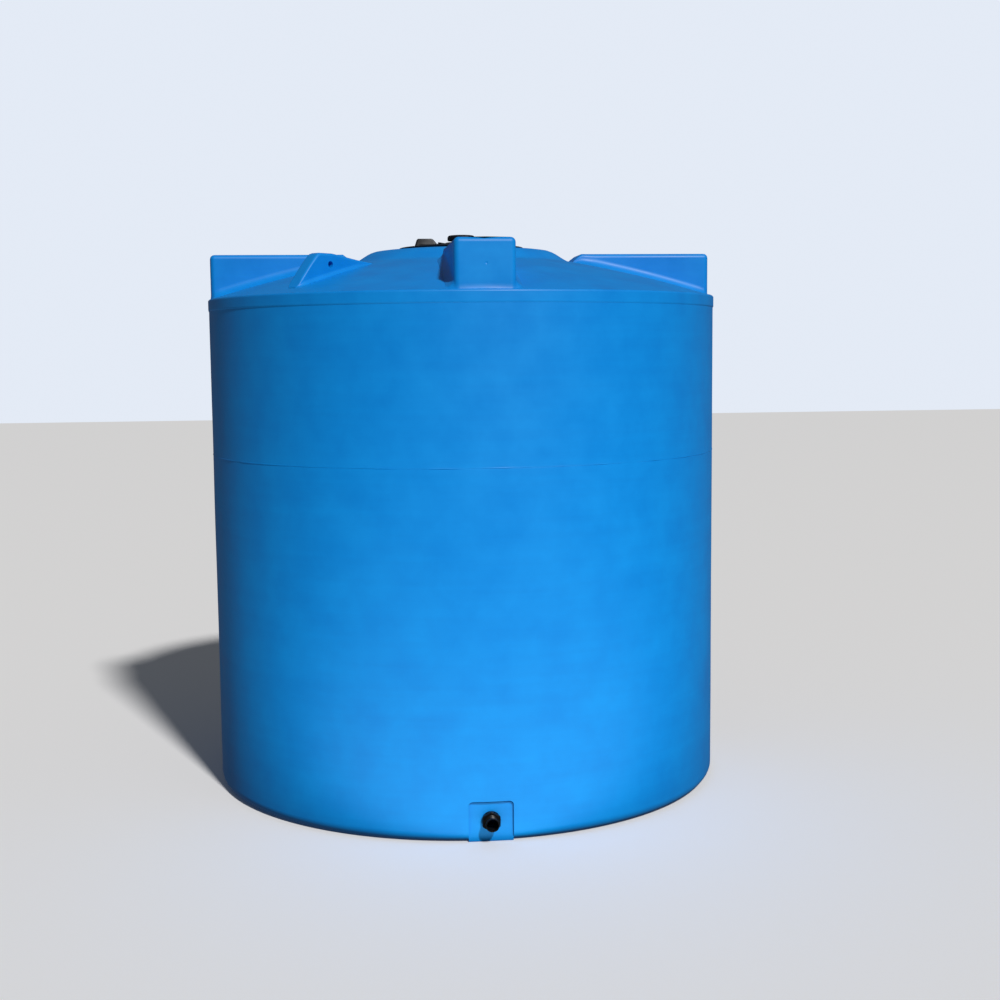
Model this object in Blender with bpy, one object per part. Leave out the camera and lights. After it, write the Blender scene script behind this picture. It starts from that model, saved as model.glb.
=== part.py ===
"""Closed upright water tank for livestock, as the separate pieces it is built from.

Metres, +Z up. The origin is the middle of the base on the ground, and the outlet faces -Y.
The tank is one hollow moulding. The lid, its vent, the outlet, the overflow and the float
valve are pieces of their own.
"""

from math import cos, pi, radians, sin

import bmesh
import bpy
from mathutils import Matrix, Vector

GAP = 0.0003  # between pieces that touch
WELD = 0.0002  # corners this near each other after the cuts become one

# The moulding: cylinder, foot and shoulder
TANK_RADIUS = 0.950
WALL = 0.007
FOOT_RADIUS = 0.038
SHOULDER_HEIGHT = 1.812
SHOULDER_RADIUS = 0.0085
BAND_HEIGHT = 0.044  # from its lower edge up to the shoulder
BAND_LOW = SHOULDER_HEIGHT - BAND_HEIGHT
BAND_PROUD = 0.0025
BAND_EASE = 0.006
TANK_SIDES = 48

# Dome and neck
MOUTH_RADIUS = 0.2085
NECK_FLAT = 0.1165  # from the mouth to the neck's shoulder
NECK_SLOPE = 0.105  # from there to the dome
NECK_SHOULDER_RADIUS = MOUTH_RADIUS + NECK_FLAT
DOME_INNER_RADIUS = NECK_SHOULDER_RADIUS + NECK_SLOPE
DOME_RISE = 0.130
DOME_CROWN = 0.25  # extra height part-way up, as a share of the rise
NECK_RISE = 0.183  # above the shoulder
NECK_TOP = SHOULDER_HEIGHT + NECK_RISE
NECK_EASE = 0.007
COLLAR_DEPTH = 0.050

# Square lands at the shoulder, one at each quarter
LAND_WIDTH = 0.200
LAND_RISE = 0.164  # above the shoulder
LAND_TOP = SHOULDER_HEIGHT + LAND_RISE
LAND_SET_BACK = 0.0125
LAND_FACE = TANK_RADIUS - LAND_SET_BACK  # from the tank's axis to the flat face
LAND_END_GAP = 0.015  # from its inner end to the foot of the neck
LAND_INNER = DOME_INNER_RADIUS + LAND_END_GAP
LAND_ROUND = 0.016
LAND_DEPTH = 0.180  # how far the land's block reaches down into the tank

# Lifting fins, half-way between two lands
FIN_AZIMUTHS = (-45.0, 135.0)
FIN_SET_BACK = 0.070
FIN_OUTER_SLOPE = 0.102
FIN_FLAT = 0.073
FIN_INNER_SLOPE = 0.190
FIN_OUTER = TANK_RADIUS - FIN_SET_BACK
FIN_TOP_OUTER = FIN_OUTER - FIN_OUTER_SLOPE
FIN_TOP_INNER = FIN_TOP_OUTER - FIN_FLAT
FIN_INNER = FIN_TOP_INNER - FIN_INNER_SLOPE
FIN_RISE = 0.140  # above the shoulder
FIN_TOP = SHOULDER_HEIGHT + FIN_RISE
FIN_WIDTH = 0.056
FIN_ROUND = 0.012
EYE_RADIUS = 0.011
EYE_INSIDE_FLAT = 0.056
EYE_BELOW_TOP = 0.038
EYE_FROM_AXIS = FIN_TOP_OUTER - EYE_INSIDE_FLAT
EYE_HEIGHT = FIN_TOP - EYE_BELOW_TOP

# Flat at the foot that the outlet sits on
FLAT_WIDTH = 0.150
FLAT_HEIGHT = 0.137
FLAT_SET_BACK = 0.013
FLAT_FACE = TANK_RADIUS - FLAT_SET_BACK

# Manway lid
THREAD_GAP = 0.001
THREAD_DEPTH = 0.002
THREAD_PITCH = 0.012
THREAD_TURNS = 3
PLUG_WALL = 0.005
PLUG_DEPTH = 0.040
LID_OVERHANG = 0.028  # past the mouth
LID_RADIUS = MOUTH_RADIUS + LID_OVERHANG
LID_EDGE = 0.005
LID_WALL = 0.0045
LID_CROWN_INSET = 0.0255  # inside the mouth
LID_CROWN_RADIUS = MOUTH_RADIUS - LID_CROWN_INSET
LID_CROWN = 0.0124  # above the flange's underside
LID_HUB_RADIUS = 0.062
LID_HUB_RISE = 0.0264
GRIP_WIDTH = 0.038
GRIP_INSET = 0.003
GRIP_OUTER = LID_CROWN_RADIUS - GRIP_INSET
GRIP_INNER = 0.077
GRIP_RISE = 0.0414
GRIP_OUTER_LEAN = 0.012
GRIP_INNER_LEAN = 0.033
GRIPS = 4
SEAL_THICK = 0.003
SEAL_INNER_INSET = 0.004  # from the mouth's edge
SEAL_OUTER_INSET = 0.005  # from the lid's edge
SEAL_INNER = MOUTH_RADIUS + SEAL_INNER_INSET
SEAL_OUTER = LID_RADIUS - SEAL_OUTER_INSET
LID_SIDES = 36

# Vent in the lid
STEM_RADIUS = 0.020
STEM_BORE = 0.0155
STEM_FLANGE = 0.030
STEM_FLANGE_THICK = 0.003
STEM_ABOVE = 0.021  # from the lid's hub to the stem's top
STEM_BELOW = 0.031
VENT_GASKET = 0.002
VENT_NUT_FLATS = 0.056
VENT_NUT_THICK = 0.010
SCREEN_THICK = 0.001
SCREEN_LEDGE = 0.0020
SCREEN_HOLE = 0.003
SCREEN_HOLES = 6
CAP_RADIUS = 0.052
CAP_WALL = 0.0026
CAP_SKIRT = 0.021
CAP_AIR = 0.005  # over the stem
CAP_HUB_WALL = 0.003
CAP_HUB_DEPTH = 0.015
CAP_WINDOW = 0.012

# Outlet and overflow: the same 1.5 inch wall fitting
BARREL_RADIUS = 0.024
BARREL_WALL = 0.005
BARREL_BORE = BARREL_RADIUS - BARREL_WALL
FLANGE_WIDTH = 0.014  # past the barrel, as are the next two
WASHER_WIDTH = 0.008
BACKNUT_WALL = 0.004
FLANGE_RADIUS = BARREL_RADIUS + FLANGE_WIDTH
FLANGE_THICK = 0.007
RUBBER_THICK = 0.003
WASHER_RADIUS = BARREL_RADIUS + WASHER_WIDTH
WASHER_THICK = 0.004
BACKNUT_FLATS = 2 * (BARREL_RADIUS + BACKNUT_WALL)
BACKNUT_THICK = 0.014
HOLE_GAP = 0.0008
NUT_GAP = 0.0004
OUTLET_HEIGHT = 0.070
OUTLET_REACH = 0.055
OVERFLOW_CLEAR = 0.001  # from its flange to where the land's corner starts to round
OVERFLOW_SIDE = FLANGE_RADIUS + LAND_ROUND + OVERFLOW_CLEAR - LAND_WIDTH / 2
OVERFLOW_RISE = 0.073  # above the shoulder
OVERFLOW_HEIGHT = SHOULDER_HEIGHT + OVERFLOW_RISE
OVERFLOW_REACH = 0.050

# Float valve on the rear land
INLET_SIDE = 0.045
INLET_RISE = 0.113  # above the shoulder
INLET_HEIGHT = SHOULDER_HEIGHT + INLET_RISE
TAIL_RADIUS = 0.013
TAIL_REACH = 0.045
WATERWAY = 0.006
VALVE_FLANGE = 0.021
VALVE_FLANGE_THICK = 0.005
INLET_RUBBER = 0.002
INLET_WASHER = 0.002
INLET_NUT_FLATS = 0.038
INLET_NUT_THICK = 0.008
VALVE_RADIUS = 0.0165
VALVE_LENGTH = 0.100  # from the wall's outer face to the open end
SEAT_START = 0.0455
SEAT_LENGTH = 0.007
SEAT_BORE = 0.004
PLUNGER_RADIUS = 0.0092
PLUNGER_GAP = 0.0004
PLUNGER_LENGTH = 0.040
PAD_THICK = 0.003
PAD_RADIUS = 0.008
SLOT_BACK = 0.026  # from the plunger's front face to the middle of its slot
SPOUT_RADIUS = 0.005

# Lever, float and their pivot
LEVER_THICK = 0.005
LEVER_GAP = 0.0006
LEVER_HEAD = 0.0042
LEVER_NECK = 0.0036
LEVER_HUB = 0.005
LEVER_BAR = 0.006
HEAD_ARM = 0.013  # from the pivot to the middle of the head
PIVOT_DROP = 0.015
PIVOT_RADIUS = 0.002
PIVOT_GAP = 0.0001
CHEEK_INSET = 0.0035  # from the barrel's side, which leaves the pin's heads clear of it
CHEEK_HALF = 0.008
PIN_HEAD = 0.0034
PIN_HEAD_THICK = 0.001
SWING = 40.0
LOWEST_DROP = 52.0  # below level, where the arm hangs
FLOAT_ARM = 0.270
FLOAT_RADIUS = 0.055
BOSS_RADIUS = 0.009
BOSS_LENGTH = 0.012
SOCKET_RADIUS = 0.0043
SOCKET_DEPTH = 0.024
FLOAT_NUT_FLATS = 0.016
FLOAT_NUT_THICK = 0.005

SHARP = radians(35)
REAR = 180.0

POLYETHYLENE_BLUE = ("polyethylene_blue", (0.005, 0.240, 0.700), 0.38, 0.0)
LID_BLACK = ("polyethylene_black", (0.010, 0.012, 0.016), 0.45, 0.0)
NYLON_BLACK = ("nylon_black", (0.008, 0.009, 0.010), 0.35, 0.0)
RUBBER_BLACK = ("rubber_black", (0.020, 0.020, 0.020), 0.80, 0.0)
BRASS = ("brass", (0.700, 0.450, 0.150), 0.30, 1.0)
STAINLESS = ("stainless_steel", (0.600, 0.600, 0.600), 0.30, 1.0)
FLOAT_ORANGE = ("polyethylene_orange", (0.800, 0.200, 0.030), 0.45, 0.0)


def clear_scene():
    for obj in list(bpy.data.objects):
        bpy.data.objects.remove(obj, do_unlink=True)


def material(kind):
    """The Principled material of one kind, made once."""
    name, colour, roughness, metallic = kind
    if name in bpy.data.materials:
        return bpy.data.materials[name]
    made = bpy.data.materials.new(name)
    made.use_nodes = True
    shader = made.node_tree.nodes["Principled BSDF"]
    shader.inputs["Base Color"].default_value = (*colour, 1.0)
    shader.inputs["Roughness"].default_value = roughness
    shader.inputs["Metallic"].default_value = metallic
    return made


def add_object(name, bm, kind=None, place=None):
    """Makes an object of a bmesh. One with no kind is a cutter, which stays out of the model."""
    bmesh.ops.remove_doubles(bm, verts=bm.verts, dist=1e-6)
    bmesh.ops.recalc_face_normals(bm, faces=bm.faces)
    mesh = bpy.data.meshes.new(name)
    bm.to_mesh(mesh)
    bm.free()
    obj = bpy.data.objects.new(name, mesh)
    bpy.context.scene.collection.objects.link(obj)
    obj.matrix_world = place or Matrix()
    if kind:
        mesh.materials.append(material(kind))
        mesh.shade_smooth()
        mesh.set_sharp_from_angle(angle=SHARP)
    else:
        obj.hide_render = True
        obj.display_type = "WIRE"
    return obj


def combine(target, tool, operation):
    modifier = target.modifiers.new(f"{operation.lower()} {tool.name}", "BOOLEAN")
    modifier.operation = operation
    modifier.solver = "EXACT"
    modifier.object = tool


def cut(target, tool):
    combine(target, tool, "DIFFERENCE")


def join(target, tool):
    combine(target, tool, "UNION")


def weld(target):
    """Closes the hair-thin slivers that cuts leave where edges nearly meet."""
    modifier = target.modifiers.new("weld", "WELD")
    modifier.merge_threshold = WELD


def turned(name, outline, kind=None, place=None, sides=24, closed=False):
    """A solid of revolution about its own Z, from (radius, height) points."""
    bm = bmesh.new()
    verts = [bm.verts.new((0.0, -radius, height)) for radius, height in outline]
    edges = [bm.edges.new(pair) for pair in zip(verts, verts[1:])]
    if closed:
        edges.append(bm.edges.new((verts[-1], verts[0])))
    bmesh.ops.spin(
        bm,
        geom=verts + edges,
        cent=(0, 0, 0),
        axis=(0, 0, 1),
        dvec=(0, 0, 0),
        angle=2 * pi,
        steps=sides,
        use_merge=True,
    )
    bmesh.ops.dissolve_degenerate(bm, edges=bm.edges, dist=1e-6)
    return add_object(name, bm, kind, place)


def ring(name, inner, outer, low, high, kind=None, place=None, sides=24):
    outline = [(inner, low), (outer, low), (outer, high), (inner, high)]
    return turned(name, outline, kind, place, sides, closed=True)


def rod(name, radius, low, high, kind=None, place=None, sides=24):
    """A cylinder along its own Z. Each end is one flat face."""
    bm = bmesh.new()
    middle = Matrix.Translation((0, 0, (low + high) / 2))
    bmesh.ops.create_cone(
        bm,
        cap_ends=True,
        cap_tris=False,
        segments=sides,
        radius1=radius,
        radius2=radius,
        depth=high - low,
        matrix=middle,
    )
    return add_object(name, bm, kind, place)


def box(name, low, high, kind=None, place=None):
    low, high = Vector(low), Vector(high)
    bm = bmesh.new()
    size = Matrix.Diagonal((*(high - low), 1.0))
    bmesh.ops.create_cube(bm, size=1.0, matrix=Matrix.Translation((low + high) / 2) @ size)
    return add_object(name, bm, kind, place)


def plate(name, outline, width, kind=None, place=None):
    """An outline of (out, up) points in the plane x = 0, given a width along X. Out is -Y."""
    bm = bmesh.new()
    face = bm.faces.new([bm.verts.new((-width / 2, -out, up)) for out, up in outline])
    moved = bmesh.ops.extrude_face_region(bm, geom=[face])["geom"]
    verts = [item for item in moved if isinstance(item, bmesh.types.BMVert)]
    bmesh.ops.translate(bm, verts=verts, vec=(width, 0, 0))
    return add_object(name, bm, kind, place)


def nut(name, flats, bore, low, high, kind, place, steps=24):
    """A hexagon nut with a round bore and eased corners at its far end."""
    ease = (high - low) * 0.15
    angles = [2 * pi * step / steps for step in range(steps)]
    hexagon = [flats / 2 / cos((angle + pi / 6) % (pi / 3) - pi / 6) for angle in angles]
    eased = [min(radius, flats / 2 * 1.04) for radius in hexagon]
    levels = [
        (hexagon, low),
        (hexagon, high - ease),
        (eased, high),
        ([bore] * steps, high),
        ([bore] * steps, low),
    ]
    bm = bmesh.new()
    loops = []
    for radii, height in levels:
        points = [(r * sin(a), -r * cos(a), height) for r, a in zip(radii, angles)]
        loops.append([bm.verts.new(point) for point in points])
    for lower, upper in zip(loops, loops[1:] + loops[:1]):
        for step in range(steps):
            after = (step + 1) % steps
            bm.faces.new((lower[step], lower[after], upper[after], upper[step]))
    return add_object(name, bm, kind, place)


def bevelled(tool, width, segments=2):
    modifier = tool.modifiers.new("rounded edges", "BEVEL")
    modifier.width = width
    modifier.segments = segments
    modifier.limit_method = "ANGLE"
    modifier.angle_limit = SHARP
    return tool


def inset(points, distance, closed=False):
    """The points moved to the left of their path by a distance, as a wall's other side."""
    moved = []
    count = len(points)
    for index, point in enumerate(points):
        here = Vector(point)
        before = Vector(points[index - 1]) if index or closed else None
        after = Vector(points[(index + 1) % count]) if index < count - 1 or closed else None
        along = [b - a for a, b in ((before, here), (here, after)) if a and b]
        normals = [Vector((-way.y, way.x)).normalized() for way in along]
        middle = sum(normals, Vector((0, 0))).normalized()
        moved.append(tuple(here + middle * distance / middle.dot(normals[0])))
    return moved


def arc(centre, radius, start, end, steps):
    angles = [radians(start + (end - start) * step / steps) for step in range(steps + 1)]
    return [(centre[0] + radius * cos(a), centre[1] + radius * sin(a)) for a in angles]


def facing(azimuth):
    """Turns a piece made towards -Y to an azimuth, counted from -Y towards +X."""
    return Matrix.Rotation(radians(azimuth), 4, "Z")


def on_wall(side, height, face, azimuth):
    """The place of a turned fitting: its Z points out of the wall, from the wall's face."""
    point = Vector((side, -face, height)) if azimuth == 0 else Vector((side, face, height))
    return Matrix.Translation(point) @ facing(azimuth) @ Matrix.Rotation(pi / 2, 4, "X")


# The moulding


def dome_height(radius):
    share = (TANK_RADIUS - SHOULDER_RADIUS - radius) / (
        TANK_RADIUS - SHOULDER_RADIUS - DOME_INNER_RADIUS
    )
    return SHOULDER_HEIGHT + DOME_RISE * (share + DOME_CROWN * share * (1 - share))


def dome_outline(steps=5):
    outer = TANK_RADIUS - SHOULDER_RADIUS
    radii = [outer + (DOME_INNER_RADIUS - outer) * step / steps for step in range(1, steps + 1)]
    return [(radius, dome_height(radius)) for radius in radii]


def neck_outline(steps=4):
    """From the dome up to the neck's flat top, in an S."""
    low = dome_height(DOME_INNER_RADIUS)
    high = NECK_TOP - NECK_EASE
    points = []
    for step in range(1, steps + 1):
        share = step / steps
        rise = share * share * (3 - 2 * share)
        radius = DOME_INNER_RADIUS + (NECK_SHOULDER_RADIUS - DOME_INNER_RADIUS) * share
        points.append((radius, low + (high - low) * rise))
    return points


def tank_outline():
    """The outside, from the middle of the floor to the neck's flat top."""
    foot = (TANK_RADIUS - FOOT_RADIUS, FOOT_RADIUS)
    band = TANK_RADIUS + BAND_PROUD
    crease = (band - SHOULDER_RADIUS, SHOULDER_HEIGHT - SHOULDER_RADIUS)
    return (
        [(0.0, 0.0)]
        + arc(foot, FOOT_RADIUS, -90, 0, 4)
        + [(TANK_RADIUS, BAND_LOW), (band, BAND_LOW + BAND_EASE)]
        + arc(crease, SHOULDER_RADIUS, 0, 75, 3)
        + dome_outline()
        + neck_outline()
        + [(LID_RADIUS + NECK_EASE, NECK_TOP), (MOUTH_RADIUS + WALL, NECK_TOP)]
    )


def tank_body():
    outline = tank_outline() + [(MOUTH_RADIUS / 2, NECK_TOP), (0.0, NECK_TOP)]
    return turned("tank_shell", outline, POLYETHYLENE_BLUE, sides=TANK_SIDES)


def tank_cavity():
    collar_end = NECK_TOP - COLLAR_DEPTH
    outline = inset(tank_outline(), WALL)
    outline[0] = (0.0, WALL)
    outline += [(MOUTH_RADIUS + WALL, collar_end), (0.0, collar_end)]
    return turned("cavity", outline, sides=TANK_SIDES)


def land(name, azimuth, wall):
    """A square land, or the hollow inside it where wall is the moulding's thickness."""
    low = LAND_TOP - LAND_DEPTH
    slope = LAND_TOP - dome_height(DOME_INNER_RADIUS)
    outline = [
        (LAND_INNER - slope, low),
        (LAND_FACE, low),
        (LAND_FACE, LAND_TOP),
        (LAND_INNER, LAND_TOP),
        (LAND_INNER - slope, LAND_TOP - slope),
    ]
    outline = inset(outline, wall, closed=True)
    tool = plate(name, outline, LAND_WIDTH - 2 * wall, place=facing(azimuth))
    return bevelled(tool, LAND_ROUND - wall)


def fin(name, azimuth, wall):
    low = dome_height(FIN_OUTER) - FIN_ROUND
    outline = [
        (FIN_INNER, low),
        (FIN_OUTER, low),
        (FIN_OUTER, dome_height(FIN_OUTER)),
        (FIN_TOP_OUTER, FIN_TOP - FIN_ROUND),
        (FIN_TOP_OUTER - FIN_ROUND, FIN_TOP),
        (FIN_TOP_INNER, FIN_TOP),
        (FIN_INNER, dome_height(FIN_INNER)),
    ]
    outline = inset(outline, wall, closed=True)
    tool = plate(name, outline, FIN_WIDTH - 2 * wall, place=facing(azimuth))
    return bevelled(tool, FIN_ROUND - wall, segments=1)


def eye_rod(name, azimuth, radius):
    """A rod across a fin, at its lifting eye."""
    place = facing(azimuth) @ Matrix.Translation((0, -EYE_FROM_AXIS, EYE_HEIGHT))
    return rod(name, radius, -FIN_WIDTH, FIN_WIDTH, place=place @ Matrix.Rotation(pi / 2, 4, "Y"), sides=16)


def flat_tools(wall):
    """The block that the flat is cut from, and the space in front of the flat."""
    half = FLAT_WIDTH / 2 + wall
    high = FLAT_HEIGHT + wall
    face = FLAT_FACE - wall
    beyond = 2 * TANK_RADIUS
    back = TANK_RADIUS - 2 * FOOT_RADIUS
    block = box("flat_block", (GAP - half, -face - WALL, 0.0), (half - GAP, -back, FLAT_HEIGHT))
    space = box(f"flat_space_{wall}", (-half, -beyond, -1.0), (half, -face, high))
    return block, space


def wall_hole(tank, name, radius, place):
    cut(tank, rod(name, radius + HOLE_GAP, -4 * WALL, 4 * WALL, place=place))


def tank_shell():
    tank = tank_body()
    cavity = tank_cavity()
    for quarter in range(4):
        azimuth = 90.0 * quarter
        join(tank, land(f"land_{quarter}", azimuth, 0.0))
        join(cavity, land(f"land_hollow_{quarter}", azimuth, WALL))
    for index, azimuth in enumerate(FIN_AZIMUTHS):
        join(tank, fin(f"fin_{index}", azimuth, 0.0))
        join(cavity, fin(f"fin_hollow_{index}", azimuth, WALL))
        cut(cavity, eye_rod(f"eye_tube_{index}", azimuth, EYE_RADIUS + WALL))
    block, space = flat_tools(0.0)
    join(tank, block)
    cut(tank, space)
    cut(cavity, flat_tools(WALL)[1])
    cut(tank, cavity)
    cut(tank, rod("mouth", MOUTH_RADIUS, NECK_TOP - 2 * COLLAR_DEPTH, NECK_TOP + WALL, sides=TANK_SIDES))
    for index, azimuth in enumerate(FIN_AZIMUTHS):
        cut(tank, eye_rod(f"eye_{index}", azimuth, EYE_RADIUS))
    wall_hole(tank, "outlet_hole", BARREL_RADIUS, OUTLET_PLACE)
    wall_hole(tank, "overflow_hole", BARREL_RADIUS, OVERFLOW_PLACE)
    wall_hole(tank, "inlet_hole", TAIL_RADIUS, INLET_PLACE)
    weld(tank)


OUTLET_PLACE = on_wall(0.0, OUTLET_HEIGHT, FLAT_FACE, 0.0)
OVERFLOW_PLACE = on_wall(OVERFLOW_SIDE, OVERFLOW_HEIGHT, LAND_FACE, REAR)
INLET_PLACE = on_wall(INLET_SIDE, INLET_HEIGHT, LAND_FACE, REAR)


# Manway lid and its vent

LID_BASE = NECK_TOP + SEAL_THICK + 2 * GAP  # underside of the lid's flange
HUB_TOP = LID_BASE + LID_HUB_RISE
STEM_TOP = HUB_TOP + STEM_ABOVE


def thread_ridges(top):
    """Down the plug's outer side: one ridge for each turn of its thread."""
    crest = MOUTH_RADIUS - THREAD_GAP
    root = crest - THREAD_DEPTH
    points = [(root, top)]
    for turn in range(THREAD_TURNS):
        middle = top - (turn + 0.75) * THREAD_PITCH
        points += [(root, middle + THREAD_DEPTH), (crest, middle), (root, middle - THREAD_DEPTH)]
    return points


def lid_outline():
    """Clockwise from the stem's hole, over the top, down the plug and back under."""
    crown = (LID_CROWN_RADIUS, LID_BASE + LID_CROWN)
    hub = (LID_HUB_RADIUS, HUB_TOP)
    hub_foot = (LID_HUB_RADIUS + LID_HUB_RISE - LID_CROWN, LID_BASE + LID_CROWN + SEAL_THICK)
    hole = STEM_RADIUS + HOLE_GAP
    plug = MOUTH_RADIUS - THREAD_GAP - THREAD_DEPTH
    plug_inside = plug - PLUG_WALL
    plug_end = LID_BASE - PLUG_DEPTH
    ease = LID_EDGE / 2
    top = [(hole, HUB_TOP), hub, hub_foot, crown, (plug - ease, LID_BASE + LID_EDGE + ease / 2)]
    edge = [(LID_RADIUS - ease, LID_BASE + LID_EDGE), (LID_RADIUS, LID_BASE + ease), (LID_RADIUS, LID_BASE)]
    side = thread_ridges(LID_BASE) + [(plug, plug_end), (plug_inside, plug_end)]
    under = [
        (plug_inside, LID_BASE),
        (crown[0] - LID_WALL, crown[1] - LID_WALL),
        (hub_foot[0] - LID_WALL / 2, hub_foot[1] - LID_WALL),
        (hub[0] - LID_WALL / 2, hub[1] - LID_WALL),
        (hole, HUB_TOP - LID_WALL),
    ]
    return top + edge + side + under


def grip(name, turn, wall):
    """One raised hand grip, or the hollow under it where wall is the lid's thickness."""
    low = LID_BASE - wall
    top = LID_BASE + GRIP_RISE - wall
    outline = [
        (GRIP_INNER + wall, low),
        (GRIP_OUTER - wall, low),
        (GRIP_OUTER - GRIP_OUTER_LEAN - wall, top),
        (GRIP_INNER + GRIP_INNER_LEAN + wall, top),
    ]
    low_point = LID_BASE + LID_EDGE
    if not wall:
        outline[0] = (GRIP_INNER, low_point)
        outline[1] = (GRIP_OUTER, low_point)
    return plate(name, outline, GRIP_WIDTH - 2 * wall, place=facing(turn))


def manway_lid():
    lid = turned("manway_lid", lid_outline(), LID_BLACK, sides=LID_SIDES, closed=True)
    for index in range(GRIPS):
        turn = 360.0 * index / GRIPS
        join(lid, grip(f"grip_{index}", turn, 0.0))
        cut(lid, grip(f"grip_hollow_{index}", turn, LID_WALL))
    ring("lid_seal", SEAL_INNER, SEAL_OUTER, NECK_TOP + GAP, LID_BASE - GAP, RUBBER_BLACK, sides=LID_SIDES)
    return lid


def vent_cap():
    ceiling = STEM_TOP + CAP_AIR
    top = ceiling + CAP_WALL
    inner = CAP_RADIUS - CAP_WALL
    hub = STEM_RADIUS + GAP
    round_off = CAP_RADIUS * 0.16
    outline = [
        (0.0, top),
        (CAP_RADIUS * 0.6, top - round_off * 0.1),
        (CAP_RADIUS - round_off, top - round_off * 0.45),
        (CAP_RADIUS, top - round_off),
        (CAP_RADIUS, top - CAP_SKIRT),
        (inner, top - CAP_SKIRT),
        (inner, ceiling - round_off),
        (inner - round_off, ceiling - round_off * 0.4),
        (hub + CAP_HUB_WALL, ceiling),
        (hub + CAP_HUB_WALL, ceiling - CAP_HUB_DEPTH),
        (hub, ceiling - CAP_HUB_DEPTH),
        (hub, ceiling),
        (0.0, ceiling),
    ]
    cap = turned("vent_cap", outline, LID_BLACK, sides=28)
    reach = hub + 2 * CAP_HUB_WALL
    half = CAP_WINDOW / 2
    low, high = STEM_TOP + GAP, ceiling - GAP
    cut(cap, box("cap_window_x", (-reach, -half, low), (reach, half, high)))
    cut(cap, box("cap_window_y", (-half, -reach, low), (half, reach, high)))


def vent_screen():
    """A disc with a ring of holes, resting on the ledge in the stem's top."""
    low = STEM_TOP - SCREEN_LEDGE + GAP
    radius = STEM_BORE + SCREEN_LEDGE - GAP
    screen = rod("vent_screen", radius, low, low + SCREEN_THICK, STAINLESS)
    for index in range(SCREEN_HOLES):
        spot = facing(360.0 * index / SCREEN_HOLES) @ Matrix.Translation((0, -STEM_BORE / 2, 0))
        hole = rod(f"screen_hole_{index}", SCREEN_HOLE, low - GAP, low + 2 * SCREEN_THICK, place=spot, sides=8)
        cut(screen, hole)


def vent():
    flange_low = HUB_TOP + VENT_GASKET + 2 * GAP
    flange_high = flange_low + STEM_FLANGE_THICK
    ledge = STEM_BORE + SCREEN_LEDGE
    outline = [
        (STEM_BORE, HUB_TOP - STEM_BELOW),
        (STEM_RADIUS, HUB_TOP - STEM_BELOW),
        (STEM_RADIUS, flange_low),
        (STEM_FLANGE, flange_low),
        (STEM_FLANGE, flange_high),
        (STEM_RADIUS, flange_high),
        (STEM_RADIUS, STEM_TOP),
        (ledge, STEM_TOP),
        (ledge, STEM_TOP - SCREEN_LEDGE),
        (STEM_BORE, STEM_TOP - SCREEN_LEDGE),
    ]
    turned("vent_stem", outline, NYLON_BLACK, closed=True)
    hole = STEM_RADIUS + HOLE_GAP
    ring("vent_gasket", hole, STEM_FLANGE, HUB_TOP + GAP, HUB_TOP + GAP + VENT_GASKET, RUBBER_BLACK)
    nut_top = HUB_TOP - LID_WALL - GAP
    bore = STEM_RADIUS + NUT_GAP
    nut("vent_nut", VENT_NUT_FLATS, bore, nut_top - VENT_NUT_THICK, nut_top, NYLON_BLACK, Matrix())
    vent_screen()
    vent_cap()


# Wall fittings


def wall_fitting(prefix, place, reach):
    """A flanged barrel from the inside, its rubber, and the washer and nut outside."""
    rubber = -WALL - GAP
    flange = rubber - RUBBER_THICK - GAP
    outline = [
        (BARREL_BORE, flange - FLANGE_THICK),
        (FLANGE_RADIUS, flange - FLANGE_THICK),
        (FLANGE_RADIUS, flange),
        (BARREL_RADIUS, flange),
        (BARREL_RADIUS, reach),
        (BARREL_BORE, reach),
    ]
    turned(f"{prefix}_fitting", outline, NYLON_BLACK, place, closed=True)
    hole = BARREL_RADIUS + NUT_GAP
    ring(f"{prefix}_inner_seal", hole, FLANGE_RADIUS, rubber - RUBBER_THICK, rubber, RUBBER_BLACK, place)
    ring(f"{prefix}_outer_washer", hole, WASHER_RADIUS, GAP, GAP + WASHER_THICK, NYLON_BLACK, place)
    low = WASHER_THICK + 2 * GAP
    nut(f"{prefix}_backnut", BACKNUT_FLATS, hole, low, low + BACKNUT_THICK, NYLON_BLACK, place)


def overflow_screen():
    """A cross of flat bars in a ring, held in the overflow's outer end."""
    low = OVERFLOW_REACH - SCREEN_LEDGE
    high = low + SCREEN_THICK
    outer = BARREL_BORE - GAP
    screen = ring("overflow_screen", outer - SCREEN_LEDGE, outer, low, high, STAINLESS, OVERFLOW_PLACE)
    half = SCREEN_LEDGE / 2
    for turn in (0.0, 60.0, 120.0):
        place = OVERFLOW_PLACE @ facing(turn)
        reach = outer - half
        join(screen, box(f"screen_bar_{turn:.0f}", (-reach, -half, low), (reach, half, high), place=place))


# Float valve. Its outline runs along the tail's axis: positive is out of the tank.

SEAT_END = -SEAT_START - SEAT_LENGTH
CHEEK_WIDTH = 2 * (VALVE_RADIUS - CHEEK_INSET)
CLOSED_PAD = SEAT_END - GAP
CLOSED_FRONT = CLOSED_PAD - PAD_THICK - GAP
HALF_TRAVEL = HEAD_ARM * sin(radians(SWING / 2))
PIVOT_ALONG = CLOSED_FRONT - SLOT_BACK - HALF_TRAVEL
PLUNGER_BORE = PLUNGER_RADIUS + PLUNGER_GAP
REST_PLACE = INLET_PLACE @ Matrix.Translation((0, 0, -2 * HALF_TRAVEL))
PIVOT = Vector((INLET_SIDE, LAND_FACE + PIVOT_ALONG, INLET_HEIGHT - PIVOT_DROP))
ACROSS = Matrix.Rotation(pi / 2, 4, "Y")


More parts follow.
